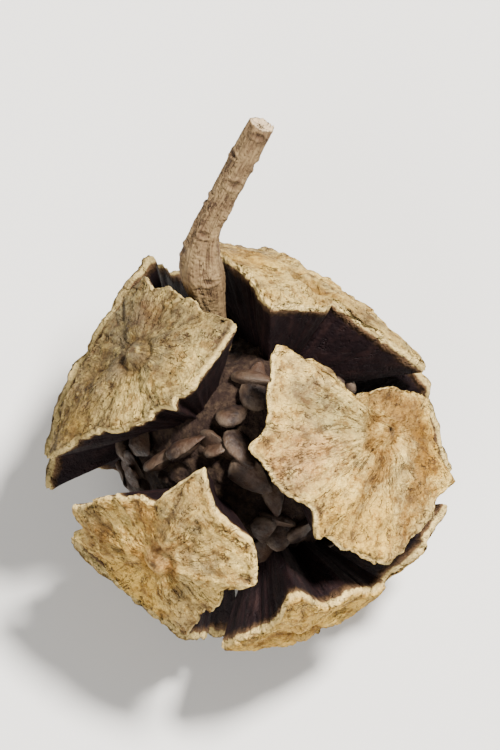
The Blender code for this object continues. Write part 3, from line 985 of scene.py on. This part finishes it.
def buildScaleMaterial():
    look = scaleLook
    material, tree, shader = newMaterial("woodyScale")
    place = objectPlace(tree)
    relief, streak, rim, depth, tone, ring = (
        attributeValue(tree, name)
        for name in ("relief", "streak", "rim", "depth", "tone", "groove")
    )
    spoke = attributeValue(tree, "spoke", "Vector")
    wood = useGroup(tree, fibreGroup, {"Spoke": spoke, "Vector": place, **look["fibres"]})
    fibres = mathNode(tree, "SUBTRACT", wood["Fibres"], 0.5)
    fibres = times(tree, fibres, mapRange(tree, rim, *look["fibreFade"]))
    rubOrShadeInputs = {"Relief": relief, "Fibres": fibres}
    blotches = centredNoise(tree, place, *look["blotches"])

    def turned(colour, mask, name, blend="MIX"):
        return mixColour(tree, mask, colour, woodColours[name], blend)

    drift = centredNoise(tree, place, *look["drift"])
    drift = mathNode(tree, "MULTIPLY_ADD", drift, look["driftAmount"], tone)
    colour = turned(woodColours["tan"], mapRange(tree, drift, 0.0, 1.0), "cream")
    weather = useGroup(tree, mottleGroup, {"Vector": place, "Colour": colour, **look["weather"]})
    patchPlace = vectorMath(tree, "ADD", place, look["patchShift"])
    patches = {"Vector": patchPlace, "Colour": weather["Colour"], **look["patches"]}
    patches = useGroup(tree, mottleGroup, patches)
    # crests and raised fibres are rubbed pale
    colour = {"Colour": patches["Colour"], **rubOrShadeInputs, **look["crests"]}
    colour = useGroup(tree, rubOrShadeGroup, colour)["Colour"]
    # a stain darkens what is under it, and the blotches make its edge ragged
    for kind, amount in look["stainAmounts"].items():
        stain = attributeValue(tree, kind)
        stain = mathNode(tree, "MULTIPLY_ADD", blotches, look["stainBlotches"], stain)
        stain = mapRange(tree, stain, *look["stainFade"], 0.0, amount)
        colour = turned(colour, stain, kind + "Stain", "MULTIPLY")
    lumps = mapRange(tree, noiseValue(tree, place, *look["lumps"]), *look["lumpFade"])
    colour = turned(colour, lumps, "brownStain", "MULTIPLY")
    # painted shade darkens the grooves, and the cracks are darkened
    colour = useGroup(tree, rubOrShadeGroup, {"Colour": colour, **rubOrShadeInputs, **look["paintedGrooveShade"]})["Colour"]
    colour = turned(colour, times(tree, wood["Cracks"], look["cracks"]), "brown")
    blotchyRing = times(tree, ring, blotches)
    ring = mathNode(tree, "MULTIPLY_ADD", blotchyRing, look["ringBlotches"], ring, clamp=True)
    colour = turned(colour, times(tree, ring, look["ringAmount"]), "brownStain", "MULTIPLY")
    colour = turned(colour, mapRange(tree, rim, *look["bossTip"]), "brown")
    # a pale band along the rim, partly wear and partly a painted highlight
    edge = mapRange(tree, noiseValue(tree, place, *look["rimWearAndHighlightNoise"]), *look["rimWearAndHighlightFade"])
    colour = turned(colour, times(tree, mapRange(tree, rim, *look["edgeFade"]), edge), "rim")
    # each face is darkened by its tone, which holds painted light and shade besides weathering
    shade = mapRange(tree, tone, *look["shade"], smooth=False)
    shade = addNode(tree, "ShaderNodeCombineColor", {0: shade, 1: shade, 2: shade}).outputs[0]
    colour = mixColour(tree, 1.0, colour, shade, "MULTIPLY")

    # below the rim the skin gives way to the dark, resinous flank, whose near-black colour is
    # partly painted shade of the gaps
    ragged = noiseValue(tree, place, *look["ragged"])
    ragged = mathNode(tree, "MULTIPLY_ADD", ragged, look["raggedDepth"], depth)
    dark = mathNode(tree, "MULTIPLY_ADD", streak, look["darkStreaks"], ragged)
    dark = mapRange(tree, dark, *look["darkFade"])
    colour = turned(colour, mapRange(tree, ragged, *look["underFade"]), "brown")
    streaky = mapRange(tree, streak, *look["streakFade"])
    flankPlumAndShade = turned(woodColours["flankPlumAndShade"], streaky, "plumLight")
    colour = mixColour(tree, dark, colour, flankPlumAndShade)
    grain = noiseValue(tree, place, *look["grain"])
    heights = (weather["Height"], patches["Height"], grain, fibres, wood["Cracks"])
    height = weighted(tree, *zip(heights, look["heights"]))
    height = times(tree, height, mapRange(tree, dark, 0.0, 1.0, 1.0, look["flankHeights"]))
    roughness = mapRange(tree, dark, 0.0, 1.0, *look["roughness"])
    finishShader(tree, shader, look, colour, height, roughness)
    return material


coreLook = {
    "dust": {
        "Colour": woodColours["core"], "Dust": woodColours["coreDust"],
        "Scale": 1500.0, "Detail": 6.0, "Roughness": 0.75,
        "From": 0.42, "To": 0.70, "Amount": 0.85,
    },
    "bump": (0.0006, 0.9),
    "roughness": 0.8,
    "specular": 0.15,
}


def buildCoreMaterial():
    look = coreLook
    material, tree, shader = newMaterial("darkCore")
    place = objectPlace(tree)
    dusty = useGroup(tree, dustGroup, {"Vector": place, **look["dust"]})
    finishShader(tree, shader, look, dusty["Colour"], dusty["Height"], look["roughness"])
    return material


seedLook = {
    "patches": (420.0, 4.0, 0.6),
    "patchFade": (0.36, 0.66),
    "dust": {
        "Dust": woodColours["coreDust"],
        "Scale": 900.0, "Detail": 4.0, "Roughness": 0.65,
        "From": 0.48, "To": 0.66, "Amount": 0.55,
    },
    "marks": {"wing": 0.45, "hilum": 0.8},  # how pale the wings and the scar at the end are
    "wrinkles": (2100.0, 4.0, 0.65),
    "bump": (0.00022, 0.8),
    "roughness": (0.35, 0.65, 0.45, 0.70),  # by the wrinkles
    "specular": 0.30,
}


def buildSeedMaterial():
    look = seedLook
    material, tree, shader = newMaterial("seedCoat")
    place = objectPlace(tree)
    patches = mapRange(tree, noiseValue(tree, place, *look["patches"]), *look["patchFade"])
    colour = mixColour(tree, patches, woodColours["seedDark"], woodColours["seed"])
    dusty = useGroup(tree, dustGroup, {"Vector": place, "Colour": colour, **look["dust"]})
    colour = dusty["Colour"]
    for name, amount in look["marks"].items():
        mark = times(tree, attributeValue(tree, name), amount)
        colour = mixColour(tree, mark, colour, woodColours["hilum"])
    wrinkles = noiseValue(tree, place, *look["wrinkles"])
    roughness = mapRange(tree, wrinkles, *look["roughness"])
    finishShader(tree, shader, look, colour, wrinkles, roughness)
    return material


stalkLook = {
    "fibres": {"Pitch": 5.0, "Run": 1.6, "Wander": 0.9},
    "weather": {
        "Colour": woodColours["stalk"],
        "Cloud": woodColours["stalkPale"], "Cloud Scale": 520.0, "Cloud Amount": 0.70,
        "Speck": woodColours["stalkDark"], "Speck Scale": 1700.0, "Speck Amount": 0.55,
    },
    "crests": {
        "Towards": woodColours["stalkPale"],
        "Relief From": 0.2, "Relief To": 1.0, "Relief Amount": 0.35,
        "Fibres From": 0.50, "Fibres To": 0.68, "Fibres Amount": 0.75,
    },
    # painted shade in the grooves and between the fibres
    "paintedGrooveShade": {
        "Towards": woodColours["stalkDark"],
        "Relief From": 0.0, "Relief To": -0.9, "Relief Amount": 0.65,
        "Fibres From": 0.48, "Fibres To": 0.32, "Fibres Amount": 0.70,
    },
    "cracks": 0.8,
    "scars": 0.80,
    "grain": (4200.0, 3.0, 0.65),
    "heights": (0.4, 1.2, -0.6),  # of grain, fibres and cracks
    "bump": (0.00016, 0.9),
    "roughness": 0.78,
    "specular": 0.22,
}


def buildStalkMaterial():
    look = stalkLook
    material, tree, shader = newMaterial("stalkBark")
    place = objectPlace(tree)
    spoke = attributeValue(tree, "spoke", "Vector")
    wood = useGroup(tree, fibreGroup, {"Spoke": spoke, "Vector": place, **look["fibres"]})
    rubOrShadeInputs = {"Relief": attributeValue(tree, "relief"), "Fibres": wood["Fibres"]}
    colour = useGroup(tree, mottleGroup, {"Vector": place, **look["weather"]})["Colour"]
    # rubbed pale crests, then painted shade in the grooves
    for name in ("crests", "paintedGrooveShade"):
        colour = useGroup(tree, rubOrShadeGroup, {"Colour": colour, **rubOrShadeInputs, **look[name]})["Colour"]
    scars = attributeValue(tree, "scar")
    for mask, amount in ((wood["Cracks"], look["cracks"]), (scars, look["scars"])):
        colour = mixColour(tree, times(tree, mask, amount), colour, woodColours["stalkDark"])
    colour = mixColour(tree, attributeValue(tree, "broken"), colour, woodColours["pith"])
    grain = noiseValue(tree, place, *look["grain"])
    height = weighted(tree, *zip((grain, wood["Fibres"], wood["Cracks"]), look["heights"]))
    finishShader(tree, shader, look, colour, height, look["roughness"])
    return material


scaleMaterial = buildScaleMaterial()
coreMaterial = buildCoreMaterial()
seedMaterial = buildSeedMaterial()
stalkMaterial = buildStalkMaterial()
print("materials built")

scaleRelief = {
    "Flute Height": 0.00005,
    "Wrinkle Height": 0.00011,
    "Wrinkle Pitch": 5.6,
    "Wart Height": 0.00009,
    "Wart Scale": 1350.0,
    "Dent Depth": 0.00017,
    "Dent Scale": 560.0,
    "Crack Depth": 0.00022,
    "Streak Height": 0.00005,
    "Material": scaleMaterial,
}
reliefSeedStep = 13.7  # sets each scale's relief apart
reliefTree = buildReliefTree()
for scaleIndex in range(len(centres)):
    scalePiece = buildScale(scaleIndex)
    applyTree(scalePiece, reliefTree, {**scaleRelief, "Seed": scaleIndex * reliefSeedStep})
    finishPiece(scalePiece, "cone")
print("scales built:", len(centres))


# The core and the stalk
coreSettings = {
    "around": 160,
    "rings": 110,
    "underSeat": 0.0002,  # how far its flat top is below the stalk's seat
    "spokeScale": 300,
    "relief": {
        "Dent Depth": 0.00045,
        "Dent Scale": 620.0,
        "Wart Height": 0.00035,
        "Wart Scale": 1100.0,
        "Material": coreMaterial,
    },
}

stalkSettings = {
    "seatGap": 0.0003,
    "seatSpread": 1.2,  # of the seat's radius, against the knob's
    "length": 0.0200,  # from its seat
    "bend": 37.0,  # of its outer part from the axis
    "bendSide": 78.0,
    "bendRadius": 0.0080,
    "radius": 0.00095,
    "knobRadius": 0.00165,
    "knobSpread": 0.0028,
    "around": 72,
    "rings": 260,
    # leaf scars, in opposite pairs, each pair turned a quarter from the last
    "firstScars": 0.0064,  # distance from the foot
    "scarSpacing": 0.0021,
    "scarPairs": 7,
    "scarWidth": 0.00052,
    "scarHeight": 0.00010,
    "scarSeed": 8,
    "spacingJitter": 0.2,
    "turnJitter": 20,
    "widthJitter": (0.7, 1.15),
    "scarStretch": 1.6,  # round the stalk, against along it
    "scarHollow": 0.6,  # share of the half width
    "collarPlace": 0.9,
    "collarWidth": 0.35,
    "ribs": 5,  # low ribs along it
    "ribHeight": 0.05,  # share of the radius
    "ribTwist": 60,  # radians in a metre
    "ovalHeight": 0.05,
    "ovalTwist": 180,
    "spokeRun": 220,  # how fast the fibres' pattern runs on along it
    "wrinkling": 0.86,  # where on a scale's face its wrinkles are like those
    "brokenLength": 0.0006,
    "brokenRings": (0.93, 0.8, 0.62, 0.42, 0.2),  # shares of the radius
    "brokenRoughness": 0.35,
    "brokenSlope": 0.5,
    "brokenSeed": 5,
    "brokenSpoke": 2.0,
    "relief": {
        "Flute Height": 0.00007,
        "Wrinkle Height": 0.00006,
        "Wrinkle Pitch": 3.6,
        "Crack Depth": 0.00018,
        "Dent Depth": 0.00002,
        "Dent Scale": 600.0,
        "Seed": 3.0,
        "Material": stalkMaterial,
    },
}


def seatHeight():
    flat = stalkSettings["seatSpread"] * stalkSettings["knobRadius"]
    return stretch * math.sqrt((coneShape["coreDiameter"] / 2) ** 2 - flat**2)


def buildCore():
    put = coreSettings
    polar = np.linspace(0, math.pi, put["rings"] + 2)[1:-1, None]
    azimuth = np.linspace(0, 2 * math.pi, put["around"], endpoint=False)
    across, height = np.sin(polar), np.repeat(np.cos(polar), put["around"], axis=1)
    grid = np.stack([across * np.cos(azimuth), across * np.sin(azimuth), height], axis=-1)
    points = np.vstack([[[0, 0, 1.0]], grid.reshape(-1, 3)])
    points = stretched(points * coneShape["coreDiameter"] / 2)
    points[:, 2] = np.minimum(points[:, 2], seatHeight() - put["underSeat"])
    plain = np.zeros(len(points))
    attributes = {"rim": plain, "depth": plain, "spoke": points * put["spokeScale"]}
    faces = closedRings(put["rings"], put["around"])
    piece = meshPiece("core", leaned(points), faces, attributes)
    faceOutward(piece)
    applyTree(piece, reliefTree, put["relief"])
    finishPiece(piece, "cone")


def stalkPoint(distance):
    put = stalkSettings
    foot = seatHeight() + put["seatGap"]
    rise = radius * stretch - foot
    turned = min(max(distance - rise, 0) / put["bendRadius"], math.radians(put["bend"]))
    beyond = max(distance - rise - turned * put["bendRadius"], 0)
    out = put["bendRadius"] * (1 - math.cos(turned)) + beyond * math.sin(turned)
    height = min(distance, rise) + put["bendRadius"] * math.sin(turned) + beyond * math.cos(turned)
    upward, sideward = unitVector(0, 0), unitVector(90, put["bendSide"])
    direction = upward * math.cos(turned) + sideward * math.sin(turned)
    return np.array([0, 0, foot + height]) + out * sideward, direction


def stalkRadius(distance):
    fromKnob = distance - (radius * stretch - seatHeight())
    swelling = stalkSettings["knobRadius"] - stalkSettings["radius"]
    return stalkSettings["radius"] + swelling * hump(fromKnob, stalkSettings["knobSpread"])


def leafScars():
    # distance from the foot, angle round and half width of each
    put = stalkSettings
    draw = random.Random(put["scarSeed"])
    for pair in range(put["scarPairs"]):
        for opposite in (0, 180):
            shifted = pair + draw.uniform(-put["spacingJitter"], put["spacingJitter"])
            distance = put["firstScars"] + shifted * put["scarSpacing"]
            angle = 90 * pair + opposite + draw.uniform(-put["turnJitter"], put["turnJitter"])
            width = put["scarWidth"] * draw.uniform(*put["widthJitter"])
            yield distance, math.radians(angle), width


def buildStalk():
    put = stalkSettings
    azimuth = np.linspace(0, 2 * math.pi, put["around"], endpoint=False)
    side = unitVector(90, put["bendSide"] + 90)
    scarPlaces = list(leafScars())
    points, scars, runs = [], [], []

    def addRing(middle, direction, radii, scar, run):
        across = normalised(np.cross(side, direction))
        circle = np.cos(azimuth)[:, None] * side + np.sin(azimuth)[:, None] * across
        points.append(middle + radii * circle)
        scars.append(scar)
        runs.append(run)

    for distance in put["length"] * np.arange(put["rings"]) / (put["rings"] - 1):
        # a scar is a ring of bark round a dark, sunken middle
        width = stalkRadius(distance)
        scar, collar = np.zeros(put["around"]), np.zeros(put["around"])
        for at, angle, halfWidth in scarPlaces:
            apart = wrapped(azimuth - angle) * width / put["scarStretch"]
            away = np.hypot(apart, distance - at) / halfWidth
            scar = np.maximum(scar, hump(away, put["scarHollow"]))
            collar = np.maximum(collar, hump(away - put["collarPlace"], put["collarWidth"]))
        oval = 1 + put["ovalHeight"] * np.cos(2 * azimuth + distance * put["ovalTwist"])
        oval += put["ribHeight"] * np.cos(put["ribs"] * azimuth + distance * put["ribTwist"])
        radii = ((width + (collar - scar) * put["scarHeight"]) * oval)[:, None]
        addRing(*stalkPoint(distance), radii, scar, distance * put["spokeRun"])
    # the broken end: fibres of uneven length, with the pith in the middle
    middle, direction = stalkPoint(put["length"])
    draw = np.random.default_rng(put["brokenSeed"])
    for share in put["brokenRings"]:
        rough = draw.uniform(-1, 1, put["around"])
        rough = (rough + np.roll(rough, 1)) / 2 * put["brokenRoughness"]
        rough = (rough - (1 - share) * put["brokenSlope"]) * put["brokenLength"]
        width = stalkRadius(put["length"]) * share
        plain = np.zeros(put["around"])
        addRing(middle + rough[:, None] * direction, direction, width, plain, put["brokenSpoke"])

    around = np.tile(azimuth, len(points))
    runs = np.repeat(runs, put["around"])
    plain = np.zeros(len(runs))
    attributes = {
        "rim": plain + put["wrinkling"],
        "depth": plain,
        "spoke": np.stack([np.cos(around), np.sin(around), runs], axis=1),
        "scar": np.concatenate(scars),
        "broken": np.arange(len(runs)) >= put["rings"] * put["around"],
    }
    faces = closedRings(len(points), put["around"], withApex=False)
    piece = meshPiece("bentStalk", leaned(np.concatenate(points)), faces, attributes)
    faceOutward(piece)
    applyTree(piece, reliefTree, put["relief"])
    finishPiece(piece, "stalk")


buildCore()
buildStalk()
print("core and stalk built")


# The seeds
seedSettings = {
    "depth": 0.0051,  # of the row of seeds below the cone's surface
    "seedlessCap": 28.0,
    "rowEnds": (0.06, 0.94),
    "rowPoints": 12,
    "inputs": {
        "Length": 0.0038,
        "Width": 0.0027,
        "Thickness": 0.0013,
        "Spacing": 0.0021,
        "Side Jitter": 0.0014,
        "Depth Jitter": 0.0004,
        "Turn": 0.60,
        "Roll": 1.15,
        "Tilt": 0.45,
        "Dent Depth": 0.00028,
        "Seed": 4,
        "Middle": (0.0, 0.0, float(restHeight)),
        "Material": seedMaterial,
    },
    # a plain seed is 1 long and wide: where its wings and its end scar are, and its taper
    "sphere": {"Segments": 16, "Rings": 10, "Radius": 0.5},
    "wingFade": (0.30, 0.46),
    "hilumFade": (-0.36, -0.46),
    "taper": (-0.5, 0.5, 1.12, 0.50),
    "wingThickness": (0.0, 1.0, 1.0, 0.30),
    "sizes": (0.8, 1.1),
    "dents": (640.0, 2.0, 0.5),
}


def buildGapLines():
    # one line along each gap, at the seeds' depth
    put = seedSettings
    points, edges = [], []
    shares = np.linspace(*put["rowEnds"], put["rowPoints"])[:, None]
    for index in range(len(centres)):
        for start, end in gapSides(index):
            closeness = centres @ (start + end)
            closeness[index] = -math.inf
            if np.argmax(closeness) < index:
                continue
            line = normalised(start + (end - start) * shares)
            line = line[np.degrees(np.arccos(line[:, 2])) > put["seedlessCap"]]
            first = len(points)
            points += list(line)
            edges += [(first + i, first + i + 1) for i in range(len(line) - 1)]
    points = leaned(stretched(np.array(points) * (radius - put["depth"])))
    return meshPiece("seeds", points, [], edges=edges)


def buildSeedTree():
    tree, given, result = newTree(
        "seedRow",
        "GeometryNodeTree",
        {
            "Geometry": "Geometry",
            "Length": 0.004,
            "Width": 0.003,
            "Thickness": 0.002,
            "Spacing": 0.002,
            "Side Jitter": 0.001,
            "Depth Jitter": 0.0005,
            "Turn": 0.6,
            "Roll": 1.0,
            "Tilt": 0.4,
            "Dent Depth": 0.0001,
            "Seed": 0,
            "Middle": "Vector",
            "Material": "Material",
        },
        {"Geometry": "Geometry"},
    )
    put = seedSettings
    position = addNode(tree, "GeometryNodeInputPosition").outputs[0]
    normal = addNode(tree, "GeometryNodeInputNormal").outputs[0]
    split = addNode(tree, "ShaderNodeSeparateXYZ", {0: position}).outputs

    # one seed: narrower at one end, with a thin wing down each side
    seed = addNode(tree, "GeometryNodeMeshUVSphere", put["sphere"]).outputs[0]
    wing = mapRange(tree, mathNode(tree, "ABSOLUTE", split[1]), *put["wingFade"])
    hilum = mapRange(tree, split[0], *put["hilumFade"])
    seed = storeAttribute(tree, seed, "wing", wing)
    seed = storeAttribute(tree, seed, "hilum", hilum)
    taper = mapRange(tree, split[0], *put["taper"])
    thin = mapRange(tree, wing, *put["wingThickness"], smooth=False)
    drawn = combine(
        tree,
        times(tree, split[0], given["Length"]),
        times(tree, times(tree, split[1], taper), given["Width"]),
        times(tree, times(tree, times(tree, split[2], taper), thin), given["Thickness"]),
    )
    seed = movePoints(tree, seed, Position=drawn)

    def randomValue(low, high, offset):
        node = addNode(tree, "FunctionNodeRandomValue", data_type="FLOAT")
        sockets = byIdentifier(node.inputs)
        draw = mathNode(tree, "ADD", given["Seed"], offset)
        for key, value in (("Min_001", low), ("Max_001", high), ("Seed", draw)):
            setSocket(tree, sockets[key], value)
        return byIdentifier(node.outputs)["Value_001"]

    def eitherWay(name, offset):
        return randomValue(times(tree, given[name], -1.0), given[name], offset)

    # a seed every so far along each gap, each with its own place, turn and size
    curve = addNode(tree, "GeometryNodeMeshToCurve", {"Mesh": given["Geometry"]}).outputs[0]
    spaced = {"Curve": curve, "Length": given["Spacing"]}
    rows = addNode(tree, "GeometryNodeResampleCurve", spaced, mode="LENGTH").outputs[0]
    tangent = addNode(tree, "GeometryNodeInputTangent").outputs[0]
    outward = vectorMath(tree, "SUBTRACT", position, given["Middle"])
    outward = vectorMath(tree, "NORMALIZE", outward)
    sideways = vectorMath(tree, "CROSS_PRODUCT", outward, tangent)
    shift = vectorMath(tree, "SCALE", sideways, scale=eitherWay("Side Jitter", 1))
    sink = vectorMath(tree, "SCALE", outward, scale=eitherWay("Depth Jitter", 2))
    placed = movePoints(tree, rows, Offset=vectorMath(tree, "ADD", shift, sink))
    facing = addNode(
        tree,
        "FunctionNodeAxesToRotation",
        {"Primary Axis": outward, "Secondary Axis": tangent},
        primary_axis="Z",
        secondary_axis="X",
    ).outputs[0]
    wobble = combine(tree, eitherWay("Roll", 3), eitherWay("Tilt", 4), eitherWay("Turn", 5))
    wobble = addNode(tree, "FunctionNodeEulerToRotation", {0: wobble}).outputs[0]
    turns = {"Rotation": facing, "Rotate By": wobble}
    turned = addNode(tree, "FunctionNodeRotateRotation", turns, rotation_space="LOCAL").outputs[0]
    size = randomValue(*put["sizes"], 6)
    copies = {"Points": placed, "Instance": seed, "Rotation": turned, "Scale": size}
    seeds = addNode(tree, "GeometryNodeInstanceOnPoints", copies).outputs[0]
    whole = addNode(tree, "GeometryNodeRealizeInstances", {"Geometry": seeds}).outputs[0]
    dents = times(tree, signedNoise(tree, position, *put["dents"]), given["Dent Depth"])
    whole = movePoints(tree, whole, Offset=vectorMath(tree, "SCALE", normal, scale=dents))
    smooth = addNode(tree, "GeometryNodeSetShadeSmooth", {"Geometry": whole}).outputs[0]
    endTree(tree, smooth, given, result)
    return tree


seedPiece = buildGapLines()
applyTree(seedPiece, buildSeedTree(), seedSettings["inputs"])
finishPiece(seedPiece, "cone")
print("seeds built:", len(seedPiece.data.polygons), "faces")


# Floor, lights and camera
stageSettings = {
    "floorSize": 3.0,
    "floorColour": (0.66, 0.65, 0.635, 1),
    "floorRoughness": 0.9,
    "worldColour": (1.0, 0.985, 0.965, 1),
    "worldStrength": 0.34,
    # place, size, power and colour
    "lights": {
        "keyLight": ((0.16, 0.09, 0.45), 0.08, 9.4, (1.0, 0.965, 0.91)),
        "fillLight": ((-0.14, -0.36, 0.30), 0.35, 2.3, (1.0, 0.985, 0.96)),
    },
    "lightAim": (0, 0, 0.015),
    "elevation": 72.0,
    "lens": 260.0,
    "sensorWidth": 36.0,
    "clipping": (0.01, 20),
    "frameHeight": 0.057,  # what the picture's height takes in at the cone
    "aimShift": (0.0004, 0.0058),  # right and up in the picture
}


def placeAimed(name, data, place, aim):
    item = bpy.data.objects.new(name, data)
    item.location = place
    item.rotation_euler = (aim - place).to_track_quat("-Z", "Y").to_euler()
    bpy.context.scene.collection.objects.link(item)
    return item


def buildFloor():
    half = stageSettings["floorSize"] / 2
    corners = np.array([(-half, -half, 0), (half, -half, 0), (half, half, 0), (-half, half, 0)])
    floor = meshPiece("floor", corners, [(0, 1, 2, 3)])
    material, _, shader = newMaterial("paleFloor")
    shader.inputs["Base Color"].default_value = stageSettings["floorColour"]
    shader.inputs["Roughness"].default_value = stageSettings["floorRoughness"]
    floor.data.materials.append(material)


def buildLights():
    for name, (place, size, power, colour) in stageSettings["lights"].items():
        light = bpy.data.lights.new(name, "AREA")
        light.shape = "DISK"
        light.size = size
        light.energy = power
        light.color = colour
        placeAimed(name, light, Vector(place), Vector(stageSettings["lightAim"]))
    world = bpy.data.worlds.new("softRoom")
    world.use_nodes = True
    background = world.node_tree.nodes["Background"]
    background.inputs["Color"].default_value = stageSettings["worldColour"]
    background.inputs["Strength"].default_value = stageSettings["worldStrength"]
    bpy.context.scene.world = world


def buildCamera():
    put = stageSettings
    camera = bpy.data.cameras.new("camera")
    camera.lens = put["lens"]
    camera.sensor_width = put["sensorWidth"]
    camera.clip_start, camera.clip_end = put["clipping"]
    distance = put["frameHeight"] * camera.lens / camera.sensor_width
    elevation = math.radians(put["elevation"])
    back = Vector((0, -math.cos(elevation), math.sin(elevation)))
    up = Vector((0, math.sin(elevation), math.cos(elevation)))
    right, high = put["aimShift"]
    aim = Vector((right, 0, restHeight)) + up * high
    bpy.context.scene.camera = placeAimed("camera", camera, aim + back * distance, aim)


buildFloor()
buildLights()
buildCamera()
print("stage built")
